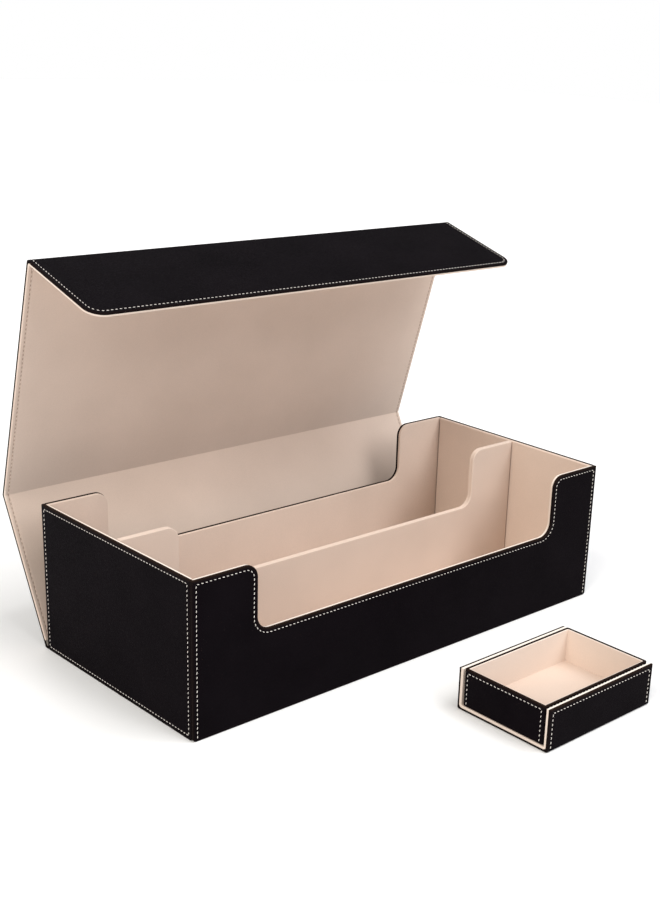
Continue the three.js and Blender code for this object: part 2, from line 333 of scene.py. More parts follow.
def thread(name, tones):
    s = Shader(name, THREAD_EVEN)
    s.link(s.tones(s.noise(*FIBRES), *tones), s.surface.inputs["Base Color"])
    s.rough(*THREAD_ROUGH)
    s.link(s.bump(s.noise(*TWIST), *TWIST_BUMP), s.surface.inputs["Normal"])
    return s.material


def greyboard():
    s = Shader("greyboard", BOARD_EVEN)
    s.link(s.tones(s.noise(*PULP), *BOARD_TONES, BOARD_FLECKS), s.surface.inputs["Base Color"])
    s.rough(*BOARD_ROUGH)
    s.link(s.bump(s.noise(*PULP_GRAIN), *PULP_BUMP), s.surface.inputs["Normal"])
    return s.material


def plated_steel():
    s = Shader("magnet_nickel", STEEL_EVEN)
    s.link(s.tones(s.noise(*BRUSHING), *STEEL_TONES), s.surface.inputs["Base Color"])
    s.rough(*STEEL_ROUGH)
    s.link(s.bump(s.noise(*PITS), *PIT_BUMP), s.surface.inputs["Normal"])
    return s.material


LEATHER_MAT = leatherette()
CLOTH_MAT = microfibre()
WHITE_THREAD = thread("thread_white", WHITE_THREAD_TONES)
BEIGE_THREAD = thread("thread_beige", BEIGE_THREAD_TONES)
BOARD_MAT = greyboard()
STEEL_MAT = plated_steel()

for node_name, node_object in frame["nodes"].items():
    node_object.data.materials.clear()
    node_object.data.materials.append(STEEL_MAT if "magnet" in node_name else BOARD_MAT)

# ---------------------------------------------------------------- edge profiles
STITCH_INSET = 2.8 * MM
GROOVE_DEPTH = 0.16 * MM
CLOTH_GROOVE = 0.34 * MM
CLOTH_STITCH_DEPTH = 0.2 * MM
GROOVE_HALF_WIDTH = 0.38 * MM
LEATHER_EDGE = 0.5 * MM
TURNED_EDGE = 0.12 * MM
TURNED_EDGE_DEPTH = 0.2 * MM
CLOTH_EDGE = 0.4 * MM
CORNER_CLOTH_EDGE = 0.8 * MM
# How far the cloth stands inside the leather's edge.
CLOTH_GAP = 0.12 * MM
LID_CLOTH_GAP = 0.15 * MM
WALL_CLOTH_GAP = 0.25 * MM
FAR_CLOTH_GAP = 0.4 * MM
# The painted rim highlight fades out over this distance, and is fainter on an edge that faces sideways than
# on one that faces up to the light.
RIM_HIGHLIGHT_FADE = 0.9 * MM
SIDE_RIM_HIGHLIGHT = 0.25
# Where a mesh has its lines of vertices: around an edge, in degrees, and across a groove, in half-widths.
EDGE_ANGLES = (0, 18, 36, 54, 72, 90)
GROOVE_SPOTS = (-2.2, -1.4, -0.8, 0, 0.8, 1.4, 2.2, 4)
SHARP_ANGLE = 38


def edge_depth(distance, radius, groove):
    """How deep the surface lies at a distance in from a free edge: a round edge, then the stitch groove."""
    depth = 0.0
    if distance < radius:
        depth = radius - math.sqrt(max(radius ** 2 - (radius - distance) ** 2, 0.0))
    if groove:
        depth += groove * groove_amount(distance)
    return depth


def edge_distances(radius, groove):
    """Distances in from a free edge at which a mesh needs a line of vertices."""
    turns = [radius * (1 - math.cos(math.radians(a))) for a in EDGE_ANGLES]
    if groove:
        return turns + [STITCH_INSET + k * GROOVE_HALF_WIDTH for k in GROOVE_SPOTS]
    return turns + [2 * radius]


def rim_amount(distance, upward):
    """How much painted highlight the turned edge gets: most where the edge faces up to the light, and none
    on the flat.
    """
    return max(0.0, 1 - distance / RIM_HIGHLIGHT_FADE) * (SIDE_RIM_HIGHLIGHT + (1 - SIDE_RIM_HIGHLIGHT) * max(upward, 0.0))


def groove_amount(distance):
    """1 along the stitch line and 0 away from it."""
    return math.exp(-((distance - STITCH_INSET) / GROOVE_HALF_WIDTH) ** 2)


# ---------------------------------------------------------------- mesh builders


def path_lengths(points):
    """The length of a path up to each of its points."""
    return np.concatenate([[0], np.cumsum(np.linalg.norm(np.diff(points, axis=0), axis=1))])


def along(run, table, s):
    """The row of a table that belongs to length s, between the rows that belong to the lengths in run."""
    return np.array([np.interp(s, run, column) for column in table.T])


def make_mesh(name, points, faces, material, **attributes):
    """attributes are named lists with one number for each vertex, which the material reads."""
    mesh = bpy.data.meshes.new(name)
    mesh.from_pydata([tuple(p) for p in points], [], [tuple(f) for f in faces])
    for key, values in attributes.items():
        mesh.attributes.new(key, "FLOAT", "POINT").data.foreach_set("value", np.array(values, np.float32))
    work = bmesh.new()
    work.from_mesh(mesh)
    bmesh.ops.recalc_face_normals(work, faces=work.faces)
    work.to_mesh(mesh)
    work.free()
    mesh.polygons.foreach_set("use_smooth", [True] * len(mesh.polygons))
    mesh.set_sharp_from_angle(angle=math.radians(SHARP_ANGLE))
    mesh.materials.append(material)
    made = bpy.data.objects.new(name, mesh)
    bpy.context.scene.collection.objects.link(made)
    return made


class Plane:
    """A flat frame: u and v lie in the panel's outer face, and depth goes into the panel."""

    def __init__(self, origin, u, v, inward):
        self.origin, self.u, self.v, self.inward = (np.array(a, float) for a in (origin, u, v, inward))

    def at(self, u, v, depth=0.0):
        return self.origin + u * self.u + v * self.v + depth * self.inward


def lofted_panel(name, plane, outline, profile, material, rim_at=None, shade_groove=True):
    """A closed solid: outline(inset) at each (inset, depth) of the profile, capped at both ends.
    The highlight function, where given, takes (inset, depth) and replaces the painted rim highlight of a
    flat panel. Vertices near the stitch line also get painted groove shade unless that is turned off."""
    points, rims, groove_shades, loops = [], [], [], []
    for inset, depth in profile:
        loop = []
        spots = outline(inset)
        for k, (u, v) in enumerate(spots):
            loop.append(len(points))
            points.append(plane.at(u, v, depth))
            (u0, v0), (u1, v1) = spots[k - 1], spots[(k + 1) % len(spots)]
            outward = ((v1 - v0) * plane.u[2] - (u1 - u0) * plane.v[2]) / math.hypot(u1 - u0, v1 - v0)
            rims.append(rim_amount(inset, outward) if rim_at is None else rim_at(inset, depth))
            groove_shades.append(groove_amount(inset) if shade_groove else 0.0)
        loops.append(loop)
    faces = [loops[0][::-1], loops[-1]]
    for lower, upper in zip(loops, loops[1:]):
        faces += zip(lower, lower[1:] + lower[:1], upper[1:] + upper[:1], upper)
    return make_mesh(name, points, faces, material, rim=rims, groove=groove_shades)


def no_rim(inset, depth):
    """Used as the highlight function: a panel with no painted rim highlight."""
    return 0.0


def wall_cloth_edge(side):
    """The cloth's gap from the wall's edge, and its painted rim highlight. The back and right walls' cloth
    stands lower and has no painted highlight.
    """
    return (FAR_CLOTH_GAP, no_rim) if side in ("back", "right_end") else (WALL_CLOTH_GAP, None)


def pan_profile(depth):
    """Leather turned over a board's edge: a pocket behind, the rim, a round edge and the stitch groove."""
    pocket = LEATHER + TINY
    back = [(pocket, LEATHER), (pocket, depth), (TURNED_EDGE, depth), (0.0, depth - TURNED_EDGE_DEPTH)]
    distances = edge_distances(LEATHER_EDGE, GROOVE_DEPTH)
    return back + [(d, edge_depth(d, LEATHER_EDGE, GROOVE_DEPTH)) for d in distances]


def slab_profile(near, far, edge=CLOTH_EDGE, groove=0.0, gap=CLOTH_GAP):
    """A lined panel: its back at depth near, its visible face at far, and gap inside the leather's edge."""
    distances = edge_distances(edge, groove)
    front = [(gap + d, far - edge_depth(d, edge, 0.0)) for d in distances if d <= edge]
    front += [(d, far - edge_depth(d, edge, groove)) for d in distances if d > edge + gap]
    return [(gap, near)] + front


# Steps around a large and a small corner of an outline.
ARC_STEPS = 14
CORNER_STEPS = 3
LARGE_CORNER = 3 * MM


def arc(cx, cy, radius, start, end, steps):
    angles = np.radians(np.linspace(start, end, steps + 1))
    return [(cx + radius * math.cos(a), cy + radius * math.sin(a)) for a in angles]


def rounded_rectangle(left, right, low, high, radii, free=(1, 1, 1, 1)):
    """outline(inset) for a rectangle. radii and free go left-low, right-low, right-high, left-high and
    left, right, low, high: a side that isn't free doesn't move in."""

    def outline(inset):
        x0, x1 = left + inset * free[0], right - inset * free[1]
        y0, y1 = low + inset * free[2], high - inset * free[3]
        points = []
        places = ((x0, y0, 1, 1, 180), (x1, y0, -1, 1, 270), (x1, y1, -1, -1, 0), (x0, y1, 1, -1, 90))
        for radius, (x, y, sx, sy, start) in zip(radii, places):
            if radius == 0:
                points.append((x, y))
                continue
            r = max(radius - inset, TINY)
            steps = ARC_STEPS if radius > LARGE_CORNER else CORNER_STEPS
            points += arc(x + sx * r, y + sy * r, r, start, start + 90, steps)
        return points

    return outline


def notched_rectangle(left, right, low, high, corner, foot_corner):
    """outline(inset) for a wall with the finger notch in its top edge."""
    side, floor = NOTCH["side"], NOTCH["floor"]
    top_radius, low_radius = NOTCH["top_radius"], NOTCH["low_radius"]

    def outline(inset):
        x0, x1, y0, y1 = left + inset, right - inset, low + inset, high - inset
        r = max(corner - inset, TINY)
        foot = max(foot_corner - inset, TINY)
        outer, inner = top_radius - inset, low_radius + inset
        high_centre = high - top_radius
        low_centre = floor + low_radius
        points = arc(x0 + foot, y0 + foot, foot, 180, 270, CORNER_STEPS)
        points += arc(x1 - foot, y0 + foot, foot, 270, 360, CORNER_STEPS)
        points += arc(x1 - r, y1 - r, r, 0, 90, CORNER_STEPS)
        points += arc(side + top_radius, high_centre, outer, 90, 180, ARC_STEPS)
        points += arc(side - low_radius, low_centre, inner, 0, -90, ARC_STEPS)
        points += arc(-side + low_radius, low_centre, inner, -90, -180, ARC_STEPS)
        points += arc(-side - top_radius, high_centre, outer, 0, 90, ARC_STEPS)
        points += arc(x0 + r, y1 - r, r, 90, 180, CORNER_STEPS)
        return points

    return outline


# Two stations nearer each other than this are merged.
STATION_GAP = 0.008 * MM


def with_end_stations(run, distances):
    """The stations along a path with free ends, with more of them near each end for its round edge."""
    length = run[-1]
    stations = sorted({round(s, 9) for s in (*run, *distances, *(length - d for d in distances))})
    merged = stations[:1]
    for s in stations[1:]:
        if s - merged[-1] > STATION_GAP:
            merged.append(s)
    return merged


def sheet_faces(rows, across):
    """The faces of a sheet's front and back, then of its four sides."""
    far = rows * across
    faces = []
    for layer in (0, far):
        for i in range(rows - 1):
            for k in range(across - 1):
                a = layer + i * across + k
                faces.append((a, a + 1, a + across + 1, a + across))
    for i in range(rows - 1):
        for k in (0, across - 1):
            a = i * across + k
            faces.append((a, a + across, a + across + far, a + far))
    for k in range(across - 1):
        for i in (0, rows - 1):
            a = i * across + k
            faces.append((a, a + 1, a + 1 + far, a + far))
    return faces


def swept_sheet(name, path, half_width, thickness, material, radius, groove=0.0, free_ends=False, pan=False,
                gap=0.0):
    """A closed sheet along a path in Y and Z, from -half_width to half_width in X. path is a list of
    (point, inward normal) on the sheet's visible face. Its X edges are free, and its ends may be. With pan,
    only its rim is thick. gap is how far the sheet's edges stand inside the panel's, from which the stitch
    groove is measured."""
    spots = np.array([p for p, _ in path])
    normals = np.array([n for _, n in path])
    run = path_lengths(spots)
    distances = [d for d in edge_distances(radius, groove) if d <= radius]
    distances += [d - gap for d in edge_distances(radius, groove) if d > radius + gap]
    if pan:
        distances = sorted(distances + [LEATHER, LEATHER + TINY])
    stations = with_end_stations(run, distances) if free_ends else run
    columns = [-half_width + d for d in distances] + [half_width - d for d in distances[::-1]]
    points, rims, groove_shades = [], [], []
    for back in (False, True):
        for s in stations:
            spot, normal = along(run, spots, s), along(run, normals, s)
            normal /= np.linalg.norm(normal)
            for x in columns:
                distance, upward = half_width - abs(x), 0.0
                if free_ends and min(s, run[-1] - s) < distance:
                    distance, upward = min(s, run[-1] - s), 1.0
                depth = edge_depth(distance, radius, 0.0) + groove * groove_amount(distance + gap)
                if back:
                    depth = LEATHER if pan and distance > LEATHER + TINY / 2 else thickness
                points.append((x, *(spot + depth * normal)))
                # Each vertex's painted rim highlight and painted groove shade, which the materials read.
                rims.append(rim_amount(distance, upward))
                groove_shades.append(groove_amount(distance + gap) if groove else 0.0)
    faces = sheet_faces(len(stations), len(columns))
    return make_mesh(name, points, faces, material, rim=rims, groove=groove_shades)


# ---------------------------------------------------------------- stitching
STITCH_PITCH = 2.9 * MM
STITCH_LENGTH = 1.6 * MM
STITCH_SLANT = 0.17
THREAD_RADIUS = 0.25 * MM
THREAD_SIDES = 6
THREAD_STATIONS = 7
# A stitch bulges in its middle and dips in at its ends. The first three are parts of the thread's radius.
STITCH_LIFT = 0.75
STITCH_SINK = 0.35
STITCH_TIP = 0.45
STITCH_FULLNESS = 0.6
LOOK_AHEAD = 0.1 * MM


def stitch_run(points, outwards):
    """Threads along one smooth run. Returns vertices and faces of separate closed stitches."""
    points, outwards = np.array(points, float), np.array(outwards, float)
    run = path_lengths(points)
    count = max(1, round(run[-1] / STITCH_PITCH))
    pitch = run[-1] / count
    vertices, faces = [], []
    for n in range(count):
        middle = (n + 0.5) * pitch
        first = len(vertices)
        for k in range(THREAD_STATIONS):
            t = -1 + 2 * k / (THREAD_STATIONS - 1)
            s = middle + t * STITCH_LENGTH / 2
            ahead = along(run, points, min(s + LOOK_AHEAD, run[-1]))
            ahead -= along(run, points, max(s - LOOK_AHEAD, 0))
            ahead /= np.linalg.norm(ahead)
            out = along(run, outwards, s)
            out -= ahead * (out @ ahead)
            out /= np.linalg.norm(out)
            aside = np.cross(ahead, out)
            swell = math.sqrt(max(1 - t * t, 0.0)) ** STITCH_FULLNESS
            centre = along(run, points, s) + out * THREAD_RADIUS * (STITCH_LIFT * swell - STITCH_SINK)
            centre = centre + aside * (STITCH_SLANT * t * STITCH_LENGTH / 2)
            radius = THREAD_RADIUS * (STITCH_TIP + (1 - STITCH_TIP) * swell)
            for m in range(THREAD_SIDES):
                a = 2 * math.pi * (m + 0.5 * k) / THREAD_SIDES
                vertices.append(centre + radius * (math.cos(a) * aside + math.sin(a) * out))
        for k in range(THREAD_STATIONS - 1):
            for m in range(THREAD_SIDES):
                a = first + k * THREAD_SIDES
                b = a + THREAD_SIDES
                nxt = (m + 1) % THREAD_SIDES
                faces.append((a + m, a + nxt, b + nxt, b + m))
        faces.append(tuple(first + m for m in range(THREAD_SIDES))[::-1])
        last = first + (THREAD_STATIONS - 1) * THREAD_SIDES
        faces.append(tuple(last + m for m in range(THREAD_SIDES)))
    return vertices, faces


def stitching(name, runs, material):
    """One object with every stitch of several runs, each a (points, outward normals) pair."""
    vertices, faces = [], []
    for points, outwards in runs:
        more_vertices, more_faces = stitch_run(points, outwards)
        faces += [tuple(i + len(vertices) for i in face) for face in more_faces]
        vertices += more_vertices
    return make_mesh(name, vertices, faces, material)


def flat_run(plane, spots, depth=GROOVE_DEPTH, inner=False):
    """A run on a flat panel through (u, v) spots, in the bottom of its groove."""
    points = [plane.at(u, v, depth) for u, v in spots]
    out = plane.inward if inner else -plane.inward
    return points, [out] * len(points)


def arch_runs(plane, half_width, foot, top, depth=GROOVE_DEPTH):
    """Three straight runs: up one side, across the top and down the other."""
    spots = ((-half_width, foot), (-half_width, top), (half_width, top), (half_width, foot))
    return [flat_run(plane, pair, depth) for pair in zip(spots, spots[1:])]


def finish_piece(piece, body, slot, *nodes):
    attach(piece, body)
    if nodes:
        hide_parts(*nodes)
    return piece


# ---------------------------------------------------------------- tray walls
WALL_CORNER = 0.8 * MM
FOOT_CORNER = 2.0 * MM
CLOTH_CORNER = 0.1 * MM
WALL_STITCH_FOOT = 1.2 * MM


def wall_plane(side):
    """The outer face of a wall, with u along it, v up and depth inwards."""
    return {
        "front": Plane((0, -HALF_DEPTH, 0), (1, 0, 0), (0, 0, 1), (0, 1, 0)),
        "back": Plane((0, HALF_DEPTH, 0), (1, 0, 0), (0, 0, 1), (0, -1, 0)),
        "left_end": Plane((-HALF_LENGTH, 0, 0), (0, 1, 0), (0, 0, 1), (1, 0, 0)),
        "right_end": Plane((HALF_LENGTH, 0, 0), (0, 1, 0), (0, 0, 1), (-1, 0, 0)),
    }[side]


def make_wall_layers(side, leather_outline, cloth_outline, cloth_edge):
    plane = wall_plane(side)
    leather = lofted_panel(f"{side}_leather", plane, leather_outline, pan_profile(WALL_SKIN), LEATHER_MAT)
    finish_piece(leather, "tray", "leather_black", f"{side}_skin")
    gap, rim_at = wall_cloth_edge(side)
    profile = slab_profile(WALL_SKIN + SEAM, WALL, cloth_edge, gap=gap)
    cloth = lofted_panel(f"{side}_cloth", plane, cloth_outline, profile, CLOTH_MAT, rim_at, shade_groove=False)
    finish_piece(cloth, "tray", "lining_beige", f"{side}_lining")


def make_notched_wall(side):
    plane = wall_plane(side)
    edges = extents(f"{side}_skin", 0)
    outline = notched_rectangle(*edges, WALL_CORNER, FOOT_CORNER)
    cloth_outline = notched_rectangle(*extents(f"{side}_lining", 0), CLOTH_CORNER, CLOTH_CORNER)
    make_wall_layers(side, outline, cloth_outline, CLOTH_EDGE)
    left, right = edges[0] + STITCH_INSET, edges[1] - STITCH_INSET
    foot, top = edges[2] + WALL_STITCH_FOOT, edges[3] - STITCH_INSET
    # The outline's points between its two rounded upper corners.
    notch = outline(STITCH_INSET)[3 * (CORNER_STEPS + 1):-CORNER_STEPS - 1]
    runs = [
        flat_run(plane, [(right, foot), (right, top)]),
        flat_run(plane, [(right, top)] + notch + [(left, top)]),
        flat_run(plane, [(left, top), (left, foot)]),
    ]
    finish_piece(stitching(f"{side}_stitching", runs, WHITE_THREAD), "tray", "leather_black")


def make_end_wall(side):
    edges = extents(f"{side}_skin", 1)
    outline = rounded_rectangle(*edges, (FOOT_CORNER, FOOT_CORNER, WALL_CORNER, WALL_CORNER))
    cloth_outline = rounded_rectangle(*extents(f"{side}_lining", 1), (CLOTH_CORNER,) * 4)
    make_wall_layers(side, outline, cloth_outline, CORNER_CLOTH_EDGE)
    left, right = edges[0] + STITCH_INSET, edges[1] - STITCH_INSET
    foot, top = edges[2] + STITCH_INSET, edges[3] - STITCH_INSET
    spots = [(left, foot), (right, foot), (right, top), (left, top), (left, foot)]
    runs = [flat_run(wall_plane(side), pair) for pair in zip(spots, spots[1:])]
    finish_piece(stitching(f"{side}_stitching", runs, WHITE_THREAD), "tray", "leather_black")


def make_base():
    plane = Plane((0, 0, 0), (1, 0, 0), (0, 1, 0), (0, 0, 1))
    skin, top = corners("base_skin")[1][2], corners("base_lining")[1][2]
    outline = rounded_rectangle(*extents("base_skin", 0, 1), (WALL_CORNER,) * 4)
    leather = lofted_panel("base_leather", plane, outline, pan_profile(skin), LEATHER_MAT)
    finish_piece(leather, "tray", "leather_black", "base_skin")
    outline = rounded_rectangle(*extents("base_lining", 0, 1), (CLOTH_CORNER,) * 4)
    profile = slab_profile(skin + SEAM, top)
    cloth = lofted_panel("base_cloth", plane, outline, profile, CLOTH_MAT, no_rim, shade_groove=False)
    finish_piece(cloth, "tray", "lining_beige", "base_lining")


# ---------------------------------------------------------------- divider
DIVIDER_EDGE = 0.6 * MM
DIVIDER_END_GAP = 0.5 * MM
DIVIDER_SEAM_DEPTH = 0.25 * MM
DIVIDER_SEAM_HALF_WIDTH = 0.22 * MM
SEAM_SPOTS = (-2, -1, -0.5, 0, 0.5, 1, 2)


def make_divider():
    """A folded cover, with the seam where its edges meet along the middle of its rim."""
    low, high = corners("divider_cover")
    plane = Plane((0, low[1], 0), (1, 0, 0), (0, 0, 1), (0, 1, 0))
    left, right = low[0] + DIVIDER_END_GAP, high[0] - DIVIDER_END_GAP
    outline = notched_rectangle(left, right, low[2], high[2], CLOTH_CORNER, CLOTH_CORNER)
    thick = high[1] - low[1]
    front = [(d, edge_depth(d, DIVIDER_EDGE, 0)) for d in edge_distances(DIVIDER_EDGE, 0)]
    back = [(d, thick - depth) for d, depth in front]
    seam = [(DIVIDER_SEAM_DEPTH * math.exp(-k * k), thick / 2 - k * DIVIDER_SEAM_HALF_WIDTH)
            for k in SEAM_SPOTS]
    profile = back[::-1] + seam + front
    cover = lofted_panel("divider_cloth", plane, outline, profile, CLOTH_MAT, no_rim, shade_groove=False)
    finish_piece(cover, "tray", "lining_beige", "divider_cover")


# ---------------------------------------------------------------- lid
# How far the sheets that bend reach from a fold, and how round they are.
CREASE = 4.5 * MM
CREASE_RADIUS = 1.5 * MM
HINGE_RADIUS = 1.0 * MM
FLAP_CORNER = 11 * MM
SIDES_FREE = (1, 1, 0, 0)
SIDES_AND_END_FREE = (1, 1, 0, 1)
STRAIGHT_STEPS = 5
FILLET_STEPS = 8
CREASE_STEPS = 6


def turned(vector, degrees):
    """A direction in the Y-Z plane turned about +X."""
    a = math.radians(degrees)
    y, z = vector
    return np.array((y * math.cos(a) - z * math.sin(a), y * math.sin(a) + z * math.cos(a)))


def hinge_point(name):
    return np.array(JOINTS[name]["pos_m"][1:], float)


class LidPanel:
    """A lid panel's place: start and end folds on its outer face, along and inwards in the Y-Z plane."""

    def __init__(self, name, start, along, length):
        self.name, self.start, self.along, self.length = name, start, along, length
        self.inward = turned(along, 90)
        self.skin_depth = self.extent(f"{name}_skin", self.inward)
        self.depth = self.extent(f"{name}_lining", self.inward)

    def extent(self, node, direction):
        return ((node_points(node)[:, 1:] - self.start) @ direction).max()

    def plane(self):
        return Plane((0, *self.start), (1, 0, 0), (0, *self.along), (0, *self.inward))


def lid_panels():
    spots = [hinge_point(n) for n in ("lid_back_hinge", "lid_top_fold", "flap_fold")]
    panels = []
    for name, start, end in (("lid_back", spots[0], spots[1]), ("lid_top", spots[1], spots[2])):
        length = np.linalg.norm(end - start)
        panels.append(LidPanel(name, start, (end - start) / length, length))
    fold = JOINTS["flap_fold"]["range_deg"][1]
    flap = LidPanel("flap", spots[2], turned(panels[1].along, fold), 0)
    flap.length = flap.extent("flap_skin", flap.along)
    return panels[0], panels[1], flap


def side_stitches(panel, start, end):
    """Two runs, one along each side edge of a lid panel, outside and then on the lining."""
    plane = panel.plane()
    outer, inner = [], []
    for side in (-1, 1):
        u = side * (HALF_LENGTH - STITCH_INSET)
        outer.append(flat_run(plane, [(u, start), (u, end)]))
        inner.append(flat_run(plane, [(u, start), (u, end)], panel.depth - CLOTH_STITCH_DEPTH, inner=True))
    return outer, inner


def make_lid_layers(panel, outline, rim_at=None):
    plane = panel.plane()
    profile = pan_profile(panel.skin_depth)
    leather = lofted_panel(f"{panel.name}_leather", plane, outline, profile, LEATHER_MAT)
    finish_piece(leather, panel.name, "leather_black", f"{panel.name}_skin")
    profile = slab_profile(panel.skin_depth + SEAM, panel.depth, CLOTH_EDGE, CLOTH_GROOVE, LID_CLOTH_GAP)
    cloth = lofted_panel(f"{panel.name}_cloth", plane, outline, profile, CLOTH_MAT, rim_at)
    finish_piece(cloth, panel.name, "lining_beige", f"{panel.name}_lining")


def finish_lid_stitches(panel, outer, inner):
    white = stitching(f"{panel.name}_stitching", outer, WHITE_THREAD)
    finish_piece(white, panel.name, "leather_black")
    beige = stitching(f"{panel.name}_lining_stitching", inner, BEIGE_THREAD)
    finish_piece(beige, panel.name, "lining_beige")


def make_lid_panel(panel, start, end):
    """A lid panel between two creases. Only its side edges are free."""
    outline = rounded_rectangle(-HALF_LENGTH, HALF_LENGTH, start, end, (0, 0, 0, 0), SIDES_FREE)
    make_lid_layers(panel, outline, no_rim)
    finish_lid_stitches(panel, *side_stitches(panel, start, end))


def make_flap(panel):
    radii = (0, 0, FLAP_CORNER, FLAP_CORNER)
    outline = rounded_rectangle(-HALF_LENGTH, HALF_LENGTH, CREASE, panel.length, radii, SIDES_AND_END_FREE)
    make_lid_layers(panel, outline)
    spots = outline(STITCH_INSET)
    spots = spots[1:] + spots[:1]
    outer = flat_run(panel.plane(), spots)
    inner = flat_run(panel.plane(), spots, panel.depth - CLOTH_STITCH_DEPTH, inner=True)
    finish_lid_stitches(panel, [outer], [inner])


def fillet_path(first, corner, second, radius, inward_first, inward_second, reach):
    """Round a corner: straight, arc, straight, as (point, inward normal). first and second are unit
    directions away from the corner along each face, and reach is how far the path goes."""
    turn = math.acos(np.clip(-first @ second, -1, 1))
    tangent = radius * math.tan(turn / 2)
    sign = np.sign(first[0] * second[1] - first[1] * second[0])
    path = [(corner + first * s, inward_first) for s in np.linspace(reach, tangent, STRAIGHT_STEPS)]
    centre = corner + first * tangent + inward_first * radius
    for k in range(1, FILLET_STEPS):
        normal = turned(inward_first, -sign * math.degrees(turn) * k / FILLET_STEPS)
        path.append((centre - normal * radius, normal))
    path += [(corner + second * s, inward_second) for s in np.linspace(tangent, reach, STRAIGHT_STEPS)]
    return path


def lining_path(before, after):
    """Around the inside of a fold, where the linings of two panels meet at an angle."""
    turn = math.acos(np.clip(before.along @ after.along, -1, 1))
    inward = before.inward + after.inward
    corner = after.start + inward * before.depth / (1 + math.cos(turn))
    reach = CREASE - before.depth * math.tan(turn / 2)
    path = []
    for k in range(CREASE_STEPS):
        path.append((corner - before.along * reach * (1 - k / CREASE_STEPS), -before.inward))
    path.append((corner, -inward / np.linalg.norm(inward)))
    for k in range(1, CREASE_STEPS + 1):
        path.append((corner + after.along * reach * k / CREASE_STEPS, -after.inward))
    return path


def crease_runs(path, depth):
    """A run of stitches across a fold, along each side edge."""
    outwards = [(0, *(-n)) for _, n in path]
    return [([(side * (HALF_LENGTH - STITCH_INSET), *(p + n * depth)) for p, n in path], outwards)
            for side in (-1, 1)]


def make_crease(name, before, after):
    """The leather and the lining that bend between two lid panels, and the stitches that cross the fold."""
    corner = after.start
    outer = fillet_path(-before.along, corner, after.along, CREASE_RADIUS, before.inward, after.inward,
                        CREASE)
    inner = lining_path(before, after)
    leather = swept_sheet(f"{name}_leather", outer, HALF_LENGTH, before.skin_depth - GLUE_GAP, LEATHER_MAT,
                          LEATHER_EDGE, GROOVE_DEPTH)
    cloth = swept_sheet(f"{name}_cloth", inner, HALF_LENGTH - LID_CLOTH_GAP,
                        before.depth - before.skin_depth - SEAM, CLOTH_MAT, CLOTH_EDGE, CLOTH_GROOVE,
                        gap=LID_CLOTH_GAP)
    white = stitching(f"{name}_stitching", crease_runs(outer, GROOVE_DEPTH), WHITE_THREAD)
    beige = stitching(f"{name}_lining_stitching", crease_runs(inner, CLOTH_STITCH_DEPTH), BEIGE_THREAD)
    for piece, slot in ((leather, "leather_black"), (cloth, "lining_beige"),
                        (white, "leather_black"), (beige, "lining_beige")):
        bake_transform(piece)


def make_hinge(panel):
    """The leather that bends from the foot of the tray's back wall into the lid."""
    corner = panel.start
    floorward, upward = np.array((-1.0, 0.0)), np.array((0.0, 1.0))
    path = fillet_path(floorward, corner, panel.along, HINGE_RADIUS, upward, panel.inward, CREASE)
    path = [(p, n) for p, n in path if p[0] > HALF_DEPTH + TINY]
    path.insert(0, (np.array((HALF_DEPTH + TINY, 0.0)), upward))
    strip = swept_sheet("hinge_leather", path, HALF_LENGTH, panel.skin_depth - GLUE_GAP, LEATHER_MAT,
                        LEATHER_EDGE)
    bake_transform(strip)


# ---------------------------------------------------------------- small box
SLEEVE_CORNER = 1.3 * MM
SLEEVE_INNER_CORNER = 0.5 * MM
SLEEVE_CLOTH_DROP = 0.1 * MM
SLEEVE_STITCH_FOOT = 1.5 * MM
CHANNEL_ANGLES = np.radians(np.linspace(0, 90, 7))


def inner_reach(node, middle):
    """How far from the middle a channel's inner faces are, in Y."""
    return np.abs(node_points(node)[:, 1] - middle[1]).min()


def channel_path(middle_y, half_width, floor, top, corner, inward):
    """Down one side of a channel, across its floor and up the other. inward is 1 or -1."""
    path = [((-half_width, top), (1, 0))]
    for a in CHANNEL_ANGLES:
        spot = (-half_width + corner * (1 - math.cos(a)), floor + corner * (1 - math.sin(a)))
        path.append((spot, (math.cos(a), math.sin(a))))
    for a in CHANNEL_ANGLES:
        spot = (half_width - corner * (1 - math.sin(a)), floor + corner * (1 - math.cos(a)))
        path.append((spot, (-math.sin(a), math.cos(a))))
    path.append(((half_width, top), (-1, 0)))
    return [(np.array((y + middle_y, z)), inward * np.array(n, float)) for (y, z), n in path]


def long_side(middle, half, side, foot):
    """The outer face of a long side of the sleeve or its tray. side is -1 or 1."""
    return Plane((middle[0], middle[1] + side * half[1], foot), (1, 0, 0), (0, 0, 1), (0, -side, 0))


